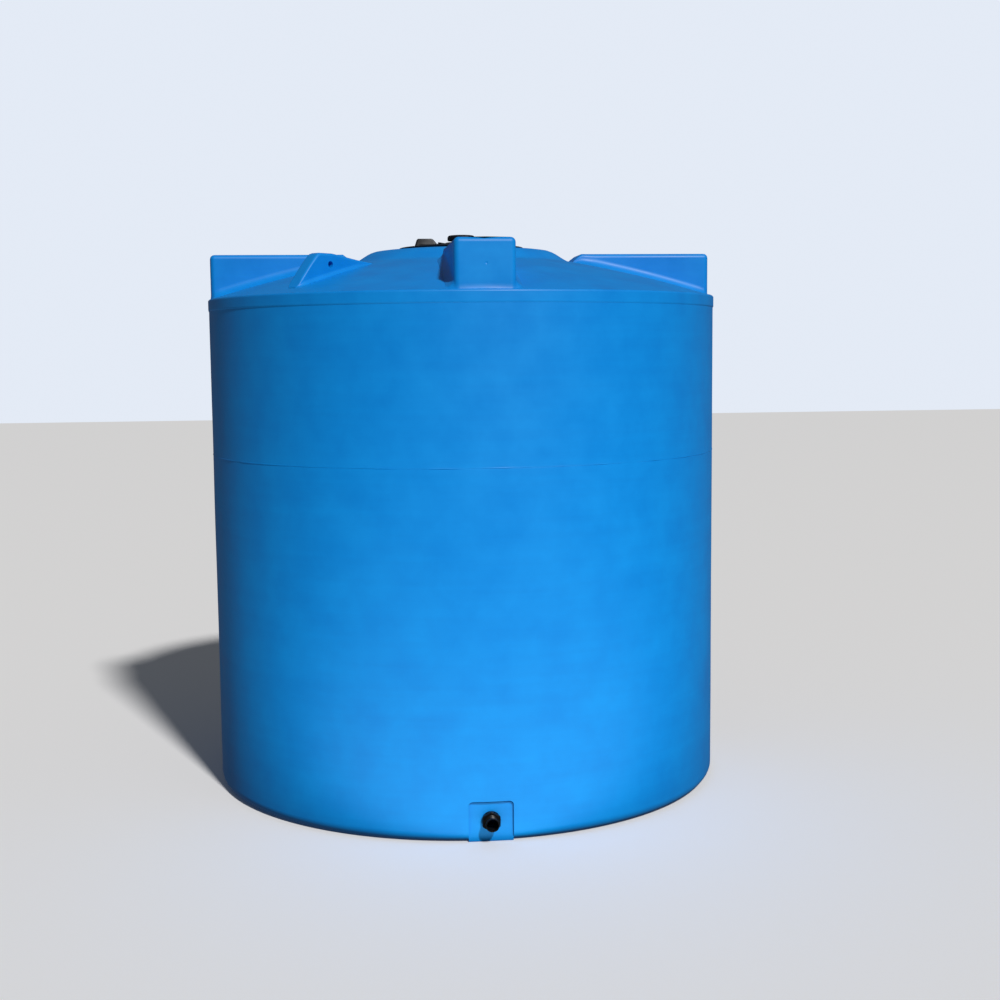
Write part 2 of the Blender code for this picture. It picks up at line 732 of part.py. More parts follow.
def at_pivot(drop=0.0):
    """A place at the pivot, turned so that -Y of the piece points down the arm."""
    return Matrix.Translation(PIVOT) @ Matrix.Rotation(radians(drop), 4, "X")


def valve_body():
    flange = -WALL - INLET_RUBBER - 2 * GAP
    outline = [
        (WATERWAY, TAIL_REACH),
        (WATERWAY, -SEAT_START),
        (PLUNGER_BORE, -SEAT_START),
        (PLUNGER_BORE, -VALVE_LENGTH),
        (VALVE_RADIUS, -VALVE_LENGTH),
        (VALVE_RADIUS, flange - VALVE_FLANGE_THICK),
        (VALVE_FLANGE, flange - VALVE_FLANGE_THICK),
        (VALVE_FLANGE, flange),
        (TAIL_RADIUS, flange),
        (TAIL_RADIUS, TAIL_REACH),
    ]
    body = turned("inlet_valve_body", outline, BRASS, INLET_PLACE, closed=True)
    half = CHEEK_WIDTH / 2
    low = -PIVOT_RADIUS - LEVER_HUB
    high = PIVOT_DROP - (PLUNGER_BORE + VALVE_RADIUS) / 2
    join(body, box("cheeks", (-half, -CHEEK_HALF, low), (half, CHEEK_HALF, high), place=at_pivot()))
    slot = LEVER_THICK / 2 + LEVER_GAP
    outer = LEVER_HUB + 2 * LEVER_GAP
    cut(body, box("lever_slot", (-slot, -VALVE_LENGTH, 4 * low), (slot, outer, PIVOT_DROP), place=at_pivot()))
    hole = PIVOT_RADIUS + PIVOT_GAP
    cut(body, rod("pin_hole", hole, -CHEEK_WIDTH, CHEEK_WIDTH, place=at_pivot() @ ACROSS, sides=16))
    below_seat = INLET_PLACE @ Matrix.Translation((0, 0, CLOSED_PAD - SPOUT_RADIUS))
    spout = below_seat @ Matrix.Rotation(pi / 2, 4, "X")
    cut(body, rod("spout", SPOUT_RADIUS, 0.0, 2 * VALVE_RADIUS, place=spout, sides=12))


def valve_fixings():
    rubber = -WALL - GAP
    hole = TAIL_RADIUS + NUT_GAP
    ring("inlet_inner_seal", hole, VALVE_FLANGE, rubber - INLET_RUBBER, rubber, RUBBER_BLACK, INLET_PLACE)
    ring("inlet_outer_washer", hole, VALVE_FLANGE, GAP, GAP + INLET_WASHER, NYLON_BLACK, INLET_PLACE)
    low = INLET_WASHER + 2 * GAP
    nut("inlet_backnut", INLET_NUT_FLATS, hole, low, low + INLET_NUT_THICK, BRASS, INLET_PLACE)
    ring("inlet_seat", SEAT_BORE, PLUNGER_RADIUS, SEAT_END, -SEAT_START - GAP, NYLON_BLACK, INLET_PLACE)


def plunger():
    back = CLOSED_FRONT - PLUNGER_LENGTH
    body = rod("valve_plunger", PLUNGER_RADIUS, back, CLOSED_FRONT, BRASS, REST_PLACE)
    middle = CLOSED_FRONT - SLOT_BACK
    length = LEVER_HEAD + PLUNGER_GAP
    width = LEVER_THICK / 2 + LEVER_GAP
    top = PIVOT_DROP - HEAD_ARM - LEVER_HEAD - LEVER_GAP
    low, high = (-width, -2 * VALVE_RADIUS, middle - length), (width, -top, middle + length)
    cut(body, box("head_slot", low, high, place=REST_PLACE))
    rod("plunger_pad", PAD_RADIUS, CLOSED_FRONT + GAP, CLOSED_PAD, RUBBER_BLACK, REST_PLACE)


def lever_outline():
    """Along the arm, then round the hub and up round the head, in the plane of the plate."""
    head_turn = 90 + LOWEST_DROP - SWING / 2
    bar = LEVER_BAR / 2
    neck = LEVER_NECK / 2
    tip = FLOAT_ARM - FLOAT_RADIUS - BOSS_LENGTH + SOCKET_DEPTH * 0.8
    way = Vector((cos(radians(head_turn)), sin(radians(head_turn))))
    side = Vector((-way.y, way.x))
    head = way * HEAD_ARM
    around = arc(head, LEVER_HEAD, head_turn - 140, head_turn + 140, 10)
    root = [tuple(side * -neck + way * LEVER_HUB * 0.8), tuple(side * neck + way * LEVER_HUB * 0.8)]
    hub = arc((0, 0), LEVER_HUB, head_turn + 45, 320, 7)
    return [(tip, -bar), (tip, bar), (LEVER_HUB, bar)] + [root[0]] + around + [root[1]] + hub


def lever():
    place = at_pivot(LOWEST_DROP)
    arm = plate("float_lever", lever_outline(), LEVER_THICK, BRASS, place)
    hole = PIVOT_RADIUS + PIVOT_GAP
    cut(arm, rod("lever_hole", hole, -CHEEK_WIDTH, CHEEK_WIDTH, place=place @ ACROSS, sides=16))
    half = CHEEK_WIDTH / 2 + GAP
    end = half + PIN_HEAD_THICK
    outline = [(0, -end), (PIN_HEAD, -end), (PIN_HEAD, -half), (PIVOT_RADIUS, -half)]
    outline += [(radius, -along) for radius, along in reversed(outline)]
    turned("float_pivot_pin", outline, STAINLESS, at_pivot() @ ACROSS, sides=16)


def float_ball():
    """The ball's Z points back along the arm to the pivot, and its origin is the ball's middle."""
    along = Matrix.Translation((0, -FLOAT_ARM, 0)) @ Matrix.Rotation(-pi / 2, 4, "X")
    place = at_pivot(LOWEST_DROP) @ along
    meet = 80
    top = FLOAT_RADIUS + BOSS_LENGTH
    outline = [(0.0, -FLOAT_RADIUS)] + arc((0, 0), FLOAT_RADIUS, -75, meet, 10)
    bottom = top - SOCKET_DEPTH
    outline += [(BOSS_RADIUS, top), (SOCKET_RADIUS, top), (SOCKET_RADIUS, bottom), (0.0, bottom)]
    turned("float_ball", outline, FLOAT_ORANGE, place, sides=20)
    low = top + GAP
    nut("float_nut", FLOAT_NUT_FLATS, SOCKET_RADIUS, low, low + FLOAT_NUT_THICK, BRASS, place)


def build():
    clear_scene()
    tank_shell()
    manway_lid()
    vent()
    wall_fitting("outlet", OUTLET_PLACE, OUTLET_REACH)
    wall_fitting("overflow", OVERFLOW_PLACE, OVERFLOW_REACH)
    overflow_screen()
    valve_body()
    valve_fixings()
    plunger()
    lever()
    float_ball()


build()
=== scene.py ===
# %% [markdown]
# # A closed farm water tank
# The real object is one hollow blue moulding with a black screw-in lid and a few black wall
# fittings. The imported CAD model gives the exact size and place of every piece. This script keeps
# that model as a fixed frame and models the finished surfaces round it.

from math import cos, hypot, pi, radians, sin

import bmesh
import bpy
import numpy as np
from mathutils import Matrix, Vector, noise


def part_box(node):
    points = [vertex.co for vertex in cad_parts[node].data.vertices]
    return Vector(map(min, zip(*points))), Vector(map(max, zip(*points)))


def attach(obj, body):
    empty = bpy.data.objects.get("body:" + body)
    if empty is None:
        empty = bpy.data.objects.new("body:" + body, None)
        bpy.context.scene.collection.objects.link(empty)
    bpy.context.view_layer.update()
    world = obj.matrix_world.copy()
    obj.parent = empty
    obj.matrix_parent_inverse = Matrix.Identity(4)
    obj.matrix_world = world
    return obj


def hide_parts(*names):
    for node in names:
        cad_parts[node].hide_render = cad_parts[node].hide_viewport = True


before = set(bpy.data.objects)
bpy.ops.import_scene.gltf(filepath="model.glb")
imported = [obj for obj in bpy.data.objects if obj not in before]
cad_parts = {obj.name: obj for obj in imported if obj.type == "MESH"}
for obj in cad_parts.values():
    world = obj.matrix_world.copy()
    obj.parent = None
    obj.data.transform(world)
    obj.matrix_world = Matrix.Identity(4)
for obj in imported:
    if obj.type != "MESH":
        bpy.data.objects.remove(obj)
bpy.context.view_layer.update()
bpy.ops.object.select_all(action="DESELECT")

# %% [markdown]
# ## Sizes
# Everything is in metres, in the CAD model's own frame: the origin is the middle of the base and
# the outlet faces -Y. Whatever the frame can tell is measured from it, so that the finished
# surfaces and the CAD model can't drift apart.

# %% Measure the tank from the frame
shell_low, shell_high = (Vector(corner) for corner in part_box("tank_shell"))
BAND_PROUD = 0.0025
BAND_RADIUS = shell_high.x
TANK_RADIUS = BAND_RADIUS - BAND_PROUD
NECK_TOP = shell_high.z
WALL = 0.007
print("tank radius", round(TANK_RADIUS, 4), "neck top", round(NECK_TOP, 4))

# %% [markdown]
# ## The camera
# A hand-held camera at chest height looks slightly down at the tank from six metres or so, which
# is why the tank seems to narrow towards the ground. Position and direction are enough: the
# lens stays unshifted and everything is in focus.

# %% Place the camera
CAMERA_AWAY = 5.855 * TANK_RADIUS
CAMERA_HEIGHT = 1.70 * TANK_RADIUS
CAMERA_ROUND = radians(-4.65)
LOOK_RIGHT = radians(1.43 + 4.65)
LOOK_DOWN = radians(5.92)
CAMERA_TILT = radians(-0.55)


def place_camera():
    camera = bpy.data.cameras.new("camera")
    camera.sensor_width = 36
    camera.lens = 36 * 1.44
    seat = bpy.data.objects.new("camera", camera)
    bpy.context.scene.collection.objects.link(seat)
    spot = Vector((sin(CAMERA_ROUND) * CAMERA_AWAY, -cos(CAMERA_ROUND) * CAMERA_AWAY, CAMERA_HEIGHT))
    turn = Matrix.Rotation(-LOOK_RIGHT, 4, "Z") @ Matrix.Rotation(pi / 2 - LOOK_DOWN, 4, "X")
    seat.matrix_world = Matrix.Translation(spot) @ turn @ Matrix.Rotation(CAMERA_TILT, 4, "Z")
    bpy.context.scene.camera = seat
    print("camera at", [round(n, 3) for n in spot])


place_camera()

# %% [markdown]
# ## Floor and light
# The floor is plain and pale. One strong lamp stands high at the front right, as the sun does over
# a yard, and leaves the tank's left side in shade. A weak blue sky fills the shadows. Bright ground
# in front lights the lower half from below. A lying lamp does that, in place of the floor's own
# bounce, so that its strength can be set.

# %% Add the floor, the sky and the lamps
def plain_material(name, grey, roughness):
    made = bpy.data.materials.new(name)
    made.use_nodes = True
    shader = made.node_tree.nodes["Principled BSDF"]
    shader.inputs["Base Color"].default_value = (grey, grey, grey, 1)
    shader.inputs["Roughness"].default_value = roughness
    return made


def add_floor():
    bpy.ops.mesh.primitive_plane_add(size=60, location=(0, 0, -0.001))
    floor = bpy.context.object
    floor.name = "studio_floor"
    floor.data.materials.append(plain_material("painted_studio_floor", 0.90, 0.9))
    floor.visible_diffuse, floor.visible_glossy = False, False
    bpy.ops.object.select_all(action="DESELECT")


def add_sun(name, strength, width, azimuth, elevation, colour=(1, 1, 1)):
    """A far lamp whose shadows have soft edges. Azimuth counts from the front towards +X."""
    lamp = bpy.data.lights.new(name, "SUN")
    lamp.energy, lamp.angle, lamp.color = strength, radians(width), colour
    seat = bpy.data.objects.new(name, lamp)
    bpy.context.scene.collection.objects.link(seat)
    level, turn = cos(radians(elevation)), radians(azimuth)
    spot = Vector((sin(turn) * level, -cos(turn) * level, sin(radians(elevation)))) * 12
    seat.matrix_world = Matrix.Translation(spot) @ (-spot).to_track_quat("-Z", "Y").to_matrix().to_4x4()


def add_ground_glow(power, width, depth, middle, colour):
    """A lamp lying on the floor and facing up, which the camera and reflections don't see."""
    lamp = bpy.data.lights.new("ground_glow", "AREA")
    lamp.shape, lamp.size, lamp.size_y = "RECTANGLE", width, depth
    lamp.energy, lamp.color = power, colour
    seat = bpy.data.objects.new("ground_glow", lamp)
    bpy.context.scene.collection.objects.link(seat)
    seat.matrix_world = Matrix.Translation(middle) @ Matrix.Rotation(pi, 4, "X")
    seat.visible_camera, seat.visible_glossy = False, False


def add_sky(seen, felt, mirrored):
    """A pale sky. It looks brighter than it lights, so that the shaded side stays deep."""
    sky = bpy.data.worlds.new("sky")
    sky.use_nodes = True
    nodes, links = sky.node_tree.nodes, sky.node_tree.links
    path = nodes.new("ShaderNodeLightPath")
    glossy = nodes.new("ShaderNodeMapRange")
    glossy.inputs["To Min"].default_value, glossy.inputs["To Max"].default_value = felt, mirrored
    direct = nodes.new("ShaderNodeMix")
    direct.inputs["B"].default_value = seen
    links.new(path.outputs["Is Glossy Ray"], glossy.inputs["Value"])
    links.new(path.outputs["Is Camera Ray"], direct.inputs["Factor"])
    links.new(glossy.outputs["Result"], direct.inputs["A"])
    links.new(direct.outputs["Result"], nodes["Background"].inputs["Strength"])
    nodes["Background"].inputs["Color"].default_value = (0.84, 0.90, 1.0, 1)
    bpy.context.scene.world = sky


add_floor()
add_sky(seen=0.92, felt=0.115, mirrored=0.11)
add_sun("sun_lamp", 3.05, 5, 20, 42, (1.0, 0.98, 0.96))
add_ground_glow(46, 4.6, 2.0, (0.3, -1.96, 0.004), (1.0, 1.0, 0.90))
bpy.context.scene.view_settings.view_transform = "Standard"
print("floor, sky and lamps are in")

# %% [markdown]
# ## The tank's outside
# The real tank is rotationally moulded: powdered polyethylene is melted inside a turning steel
# mould. That gives one skin of even thickness with no sharp corners anywhere, a faint line where
# the mould's two halves meet, and walls that are never perfectly true. A turned outline gives the
# round body. The square lands and the lifting fins are lofted, because each one has to swell out
# of the dome in a soft hollow, and a plain bevel can't follow a slope like that.

# %% Shaping helpers
def start_edit(obj):
    bpy.context.view_layer.objects.active = obj
    obj.select_set(True)
    bpy.ops.object.mode_set(mode="EDIT")


def end_edit():
    bpy.ops.object.mode_set(mode="OBJECT")
    bpy.ops.object.select_all(action="DESELECT")


def tidy_faces(merge=1e-5):
    """Merges what lies together in edit mode and turns every face outwards."""
    bpy.ops.mesh.select_all(action="SELECT")
    bpy.ops.mesh.remove_doubles(threshold=merge)
    bpy.ops.mesh.normals_make_consistent(inside=False)


def spin_outline(name, outline, steps):
    """Draws (radius, height) points by extruding one vertex, then spins them about +Z."""
    bpy.ops.mesh.primitive_plane_add(size=0.01)
    obj = bpy.context.object
    obj.name = name
    start_edit(obj)
    bpy.ops.mesh.merge(type="CENTER")
    bpy.ops.transform.translate(value=(outline[0][0], 0, outline[0][1]))
    for (r0, z0), (r1, z1) in zip(outline, outline[1:]):
        bpy.ops.mesh.extrude_vertices_move(TRANSFORM_OT_translate={"value": (r1 - r0, 0, z1 - z0)})
    bpy.ops.mesh.select_all(action="SELECT")
    bpy.ops.mesh.spin(steps=steps, angle=2 * pi, center=(0, 0, 0), axis=(0, 0, 1))
    tidy_faces()
    end_edit()
    return obj


def lay_grid(name, rows):
    """Adds a grid and moves each of its vertices to its place in the rows."""
    bpy.ops.mesh.primitive_grid_add(x_subdivisions=len(rows[0]) - 1, y_subdivisions=len(rows) - 1)
    obj = bpy.context.object
    obj.name = name
    flat = np.array(rows, dtype=np.float32).reshape(-1)
    obj.data.vertices.foreach_set("co", flat)
    start_edit(obj)
    tidy_faces()
    end_edit()
    return obj


def boolean(target, tool, operation):
    """Joins or cuts with another object, which is used up."""
    modifier = target.modifiers.new(operation.lower(), "BOOLEAN")
    modifier.object, modifier.operation, modifier.solver = tool, operation, "EXACT"
    bpy.context.view_layer.objects.active = target
    bpy.ops.object.modifier_apply(modifier=modifier.name)
    bpy.data.objects.remove(tool, do_unlink=True)


def join_objects(objects):
    for obj in objects:
        obj.select_set(True)
    bpy.context.view_layer.objects.active = objects[0]
    bpy.ops.object.join()
    bpy.ops.object.select_all(action="DESELECT")
    return objects[0]


def turned_copy(obj, azimuth):
    """A copy with its own mesh, turned about +Z and with the turn put into its mesh."""
    copy = obj.copy()
    copy.data = obj.data.copy()
    bpy.context.scene.collection.objects.link(copy)
    copy.data.transform(Matrix.Rotation(radians(azimuth), 4, "Z"))
    return copy


def shade(obj, angle=35):
    obj.select_set(True)
    bpy.context.view_layer.objects.active = obj
    bpy.ops.object.shade_smooth_by_angle(angle=radians(angle))
    bpy.ops.object.select_all(action="DESELECT")


def even_normals(obj):
    """Lets big flat faces rule the shading, so that no streak runs out of a small hole in one."""
    modifier = obj.modifiers.new("even normals", "WEIGHTED_NORMAL")
    modifier.keep_sharp = True
    bpy.context.view_layer.objects.active = obj
    bpy.ops.object.modifier_apply(modifier="even normals")


def count(obj):
    return sum(len(face.vertices) - 2 for face in obj.data.polygons)


# %% The body's outline, as the mould gives it
FOOT_RADIUS = 0.038
SEAM_HEIGHT = 1.240
SEAM_PROUD = 0.0016
BAND_LOW = 1.768
SHOULDER_HEIGHT = 1.812
SHOULDER_RADIUS = 0.0085
DOME_EDGE = TANK_RADIUS - SHOULDER_RADIUS
DOME_INNER = 0.430
DOME_RISE = 0.130
NECK_RADIUS = 0.325
LID_SEAT = 0.2435
MOUTH_RADIUS = 0.2085
LIP = 0.003


def arc(centre, radius, start, end, steps):
    angles = np.radians(np.linspace(start, end, steps + 1))
    return [(centre[0] + radius * cos(a), centre[1] + radius * sin(a)) for a in angles]


def dome_height(radius):
    share = (DOME_EDGE - radius) / (DOME_EDGE - DOME_INNER)
    return SHOULDER_HEIGHT + DOME_RISE * (share + 0.25 * share * (1 - share))


def top_height(radius):
    """The dome and, inside it, the neck's soft S."""
    if radius > DOME_INNER:
        return dome_height(min(radius, DOME_EDGE))
    share = min((DOME_INNER - radius) / (DOME_INNER - NECK_RADIUS), 1)
    low, high = dome_height(DOME_INNER), NECK_TOP - 0.007
    return low + (high - low) * share * share * (3 - 2 * share)


def body_outline(inside=0.0):
    """From the middle of the floor to the neck. Inside is how far the skin is offset inwards."""
    foot = (TANK_RADIUS - FOOT_RADIUS, FOOT_RADIUS)
    wall, band = TANK_RADIUS - inside, BAND_RADIUS - inside
    points = [(0, inside), (0.30, inside), (0.60, inside), (0.85, inside)]
    points += arc(foot, FOOT_RADIUS - inside, -90, 0, 10)
    points += [(wall, z) for z in np.arange(0.09, SEAM_HEIGHT - 0.02, 0.055)]
    if not inside:
        points += [(wall, SEAM_HEIGHT - 0.006), (wall - 0.0006, SEAM_HEIGHT - 0.0022)]
        points += [(wall + SEAM_PROUD, SEAM_HEIGHT - 0.0010), (wall + SEAM_PROUD, SEAM_HEIGHT + 0.0010)]
        points += [(wall, SEAM_HEIGHT + 0.0030)]
    points += [(wall, z) for z in np.arange(SEAM_HEIGHT + 0.03, BAND_LOW - 0.01, 0.055)]
    points += [(wall, BAND_LOW), (wall + BAND_PROUD * 0.8, BAND_LOW + 0.002), (band, BAND_LOW + 0.006)]
    points += [(band, 1.788)]
    crease = (BAND_RADIUS - SHOULDER_RADIUS, SHOULDER_HEIGHT - SHOULDER_RADIUS)
    points += arc(crease, SHOULDER_RADIUS - inside, 0, 75, 6)
    points += [(r, top_height(r) - inside * 1.03) for r in np.linspace(DOME_EDGE - 0.011, DOME_INNER, 14)]
    points += [(r, top_height(r) - inside * 1.1) for r in np.linspace(DOME_INNER, NECK_RADIUS, 10)[1:]]
    return points


def skin_outline():
    """Outside, over the lip, down the collar that the lid screws into, and back along the inside."""
    outside = body_outline() + [(LID_SEAT + 0.02, NECK_TOP - 0.0012), (LID_SEAT, NECK_TOP)]
    lip = arc((MOUTH_RADIUS + LIP, NECK_TOP - LIP), LIP, 90, 180, 4)
    collar = [(MOUTH_RADIUS, NECK_TOP - 0.05), (MOUTH_RADIUS + WALL, NECK_TOP - 0.05)]
    under = [(MOUTH_RADIUS + WALL, NECK_TOP - 0.0075)]
    return outside + lip + collar + under + body_outline(WALL)[::-1]


TANK_STEPS = 240
WALL_WAVES = 0.0011
skin = spin_outline("tank_skin", skin_outline(), TANK_STEPS)
print("tank skin", len(skin.data.vertices), "vertices")

# %% Let the wall wander a little, and make the mould's seam uneven
def loosen_wall(obj):
    """Moves the wall in and out by about a millimetre in long waves, with none at its two ends."""
    for vert in obj.data.vertices:
        radius = hypot(vert.co.x, vert.co.y)
        if radius < 0.92 or not 0.06 < vert.co.z < BAND_LOW:
            continue
        out = Vector((vert.co.x, vert.co.y, 0)) / radius
        hold = min((vert.co.z - 0.06) / 0.15, (BAND_LOW - vert.co.z) / 0.15, 1)
        wave = noise.noise(vert.co * 2.4) + 0.5 * noise.noise(vert.co * 6.0 + Vector((7, 0, 3)))
        vert.co += out * WALL_WAVES * hold * wave
        if radius > TANK_RADIUS + 0.0005 and abs(vert.co.z - SEAM_HEIGHT) < 0.002:
            flash = noise.noise(Vector((out.x, out.y, 0)) * 9) + 0.6 * noise.noise(out * 37)
            vert.co -= out * SEAM_PROUD * min(max(0.45 - 0.9 * flash, 0), 0.85)
            vert.co.z += 0.0012 * noise.noise(out * 5)


loosen_wall(skin)
print("wall waves", WALL_WAVES * 1000, "mm")


# %% [markdown]
# ## Lands and lifting fins
# Each land is a raised block with a flat outer face for a pipe fitting. The mould gives it rounded
# edges and a hollow where it grows out of the dome. It is lofted as rings: each ring is the same
# outline seen from above, at another height, and it spreads outwards as it nears the dome. The
# same loft makes the narrow fins. Afterwards one turned copy of it serves each place.

# %% Loft a boss out of the dome
def boss(name, plan, top, floor, flare, flare_height, rounding):
    """Rings over a plan of (x, y) points, which has its outward normals worked out here.

    top and floor give the height at a point. flare gives how far its foot spreads there.
    """
    points = [Vector(point) for point in plan]
    total = len(points)
    rows = []
    levels = [(-0.006, 1.0, 0)]
    levels += [(flare_height * s, (1 - s) ** 2.2, 0) for s in (0.0, 0.12, 0.26, 0.42, 0.6, 0.8, 1.0)]
    levels += [(None, 0, s) for s in (0.0, 0.2, 0.4, 0.6, 0.8, 1.0)]
    for rise, spread, turn in levels:
        row = []
        for index, point in enumerate(points):
            way = points[(index + 1) % total] - points[index - 1]
            out = Vector((way.y, -way.x)).normalized()
            base, crest = floor(point), top(point)
            swell = min(max(crest - base, 0) / (flare_height + rounding), 1)
            if rise is None:
                shift = -rounding * swell * (1 - cos(turn * pi / 2))
                height = crest - rounding * swell * (1 - sin(turn * pi / 2))
            else:
                shift = flare(point) * spread * swell
                height = base + rise * swell if rise > 0 else min(base, crest) + rise
            spot = point + out * shift
            row.append((spot.x, spot.y, height))
        rows.append(row + row[:1])
    middle = [(0, point.y, top(point)) for point in points]
    under = [(0, point.y, min(floor(point), top(point)) - 0.006) for point in points]
    rows = [under + under[:1]] + rows + [middle + middle[:1]]
    return lay_grid(name, rows)


def rounded_plan(half, near, far, corner, steps):
    """A long rounded rectangle along -Y, counter-clockwise: from |y| near to |y| far."""
    outline = [(half, -y) for y in np.linspace(near, far - corner, steps)]
    outline += [(half - corner + corner * cos(a), -far + corner - corner * sin(a))
                for a in np.radians(np.linspace(0, 90, 7))[1:]]
    outline += [(x, -far) for x in np.linspace(half - corner, 0, 7)[1:]]
    mirrored = [(-x, y) for x, y in outline[::-1][1:]]
    inner = [(x, -near) for x in np.linspace(-half, half, 9)[1:-1]]
    return (outline + mirrored + inner)[::-1]


LAND_HALF = 0.100
LAND_FACE = 0.9375
LAND_TOP = 1.976
LAND_NEAR = 0.445
LAND_CORNER = 0.018


def land_floor(point):
    """The surface that a land rises from: the dome, and at its face the wall below the shoulder."""
    radius = hypot(point.x, point.y)
    front = min(max((-point.y - 0.915) / 0.02, 0), 1)
    return top_height(radius) - 0.016 * front * front * (3 - 2 * front)


def land_flare(point):
    """The sides spread widely, but the face runs almost straight down into the wall."""
    front = min(max((-point.y - 0.905) / 0.03, 0), 1)
    wall_gap = hypot(0.9515, 0) - hypot(point.x, point.y)
    return 0.024 * (1 - front) + max(wall_gap, 0.004) * front


def make_land():
    plan = rounded_plan(LAND_HALF, LAND_NEAR - 0.050, LAND_FACE, LAND_CORNER, 30)
    inner_slope = lambda point: LAND_TOP - max(LAND_NEAR + point.y, 0)
    return boss("land", plan, inner_slope, land_floor, land_flare, 0.034, 0.0165)


land = make_land()
lands = [land] + [turned_copy(land, azimuth) for azimuth in (90, 180, 270)]
print("land", count(land), "triangles")

# %% Two lifting fins, on one diagonal
FIN_NEAR, FIN_FAR = 0.515, 0.880
FIN_HALF = 0.0268
FIN_TOP = 1.952


def fin_top(point):
    """Up from the neck side, flat along the top, and down to the dome with a soft knee."""
    r = -point.y
    up = dome_height(FIN_NEAR) + (FIN_TOP - dome_height(FIN_NEAR)) * min((r - FIN_NEAR) / 0.190, 1)
    fall = (r - 0.772) / (FIN_FAR - 0.772)
    down = FIN_TOP - (FIN_TOP - dome_height(FIN_FAR)) * max(fall, 0) ** 1.15
    return min(up, down) - (0.003 if r < FIN_NEAR + 0.001 or r > FIN_FAR - 0.001 else 0)


def make_fin():
    plan = rounded_plan(FIN_HALF, FIN_NEAR, FIN_FAR, 0.020, 34)
    floor = lambda point: top_height(hypot(point.x, point.y))
    fin = boss("fin", plan, fin_top, floor, lambda point: 0.011, 0.016, 0.011)
    fin.data.transform(Matrix.Rotation(radians(-45), 4, "Z"))
    return fin


fin = make_fin()
fins = [fin, turned_copy(fin, 180)]
print("fin", count(fin), "triangles")

# %% Where the lifting eyes go, and the drill that opens them
EYE_RADIUS = 0.0113
EYE_FROM_AXIS = 0.722
EYE_HEIGHT = 1.914


def eye_drill(azimuth):
    """A drill across a fin."""
    a = radians(azimuth)
    spot = (sin(a) * EYE_FROM_AXIS, -cos(a) * EYE_FROM_AXIS, EYE_HEIGHT)
    bpy.ops.mesh.primitive_cylinder_add(vertices=40, radius=EYE_RADIUS, depth=0.09, location=spot,
                                        rotation=(pi / 2, 0, a + pi / 2))
    return bpy.context.object


print("the lands and fins are joined in the next cell")


# %% [markdown]
# ## The outlet's flat
# A flat pad is let into the round wall at the bottom, so that a washer seals on it. The pad's
# lower corners stand proud of the rounded foot. A plate is first added behind the wall, and a
# block with rounded upper corners then cuts the face, as the mould's insert does.

# %% Cut the flat and its hole
FLAT_FACE = 0.937
FLAT_HALF = 0.075
FLAT_TOP = 0.137
OUTLET_HEIGHT = 0.070


def upright_block(name, low, high, corner, segments):
    """A block whose two upper long edges are rounded with a bevel."""
    low, high = Vector(low), Vector(high)
    bpy.ops.mesh.primitive_cube_add(size=1, location=(low + high) / 2, scale=high - low)
    obj = bpy.context.object
    obj.name = name
    bpy.ops.object.transform_apply(location=True, rotation=True, scale=True)
    start_edit(obj)
    bpy.ops.mesh.select_all(action="DESELECT")
    edit = bmesh.from_edit_mesh(obj.data)
    for edge in edit.edges:
        a, b = (vert.co for vert in edge.verts)
        edge.select_set(min(a.z, b.z) > high.z - 1e-4 and abs(a.y - b.y) > 1e-4)
    bmesh.update_edit_mesh(obj.data)
    bpy.ops.mesh.bevel(offset=corner, offset_type="OFFSET", segments=segments, affect="EDGES")
    tidy_faces()
    end_edit()
    return obj


def drill(name, spot, radius, depth, sides=64):
    """A drill along Y."""
    bpy.ops.mesh.primitive_cylinder_add(vertices=sides, radius=radius, depth=depth, location=spot,
                                        rotation=(pi / 2, 0, 0))
    bpy.context.object.name = name
    return bpy.context.object


pad = upright_block("pad", (-FLAT_HALF + 0.0004, -FLAT_FACE - 0.006, 0.0), (FLAT_HALF - 0.0004, -0.9, 0.131), 0.012, 4)
boolean(skin, join_objects(lands + fins + [pad]), "UNION")
flat_space = upright_block("flat_space", (-FLAT_HALF, -1.1, -0.1), (FLAT_HALF, -FLAT_FACE, FLAT_TOP), 0.014, 5)
hollow = upright_block("hollow", (-FLAT_HALF - 0.004, -0.929, 0.007), (FLAT_HALF + 0.004, -0.85, 0.139), 0.012, 4)
boolean(skin, join_objects([flat_space]), "DIFFERENCE")
boolean(skin, hollow, "DIFFERENCE")
land_hollow = upright_block("land_hollow", (-0.089, WALL - LAND_FACE, 1.800), (0.089, -0.462, NECK_TOP - 0.026), 0.010, 3)
land_hollows = [land_hollow] + [turned_copy(land_hollow, azimuth) for azimuth in (90, 180, 270)]
bpy.ops.object.select_all(action="DESELECT")
boolean(skin, join_objects(land_hollows), "DIFFERENCE")
LAND_HOLES = [(-0.045, 1.885, 0.0248), (0.045, 1.925, 0.0138)]
drills = [drill("outlet_drill", (0, -FLAT_FACE, OUTLET_HEIGHT), 0.0248, 0.1)]
drills += [drill("rear_drill", (x, LAND_FACE, z), radius, 0.1) for x, z, radius in LAND_HOLES]
bpy.ops.object.select_all(action="DESELECT")
drills += [eye_drill(-45), eye_drill(135)]
bpy.ops.mesh.primitive_uv_sphere_add(segments=24, ring_count=12, radius=0.009,
                                     location=(0.004, -LAND_FACE - 0.0068, 1.894))
drills.append(bpy.context.object)
bpy.ops.object.select_all(action="DESELECT")
boolean(skin, join_objects(drills), "DIFFERENCE")
shade(skin, 40)
even_normals(skin)
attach(skin, "tank")
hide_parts("tank_shell")
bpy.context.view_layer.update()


# %% [markdown]
# ## Rotomoulded blue polyethylene
# Linear polyethylene powder melts against the hot mould and copies its blasted surface, so it is
# satin rather than glossy: soft wide highlights with a faint orange peel of a few millimetres. The
# pigment is never quite even, which shows as a slow mottle and as level streaks where the powder
# tumbled.

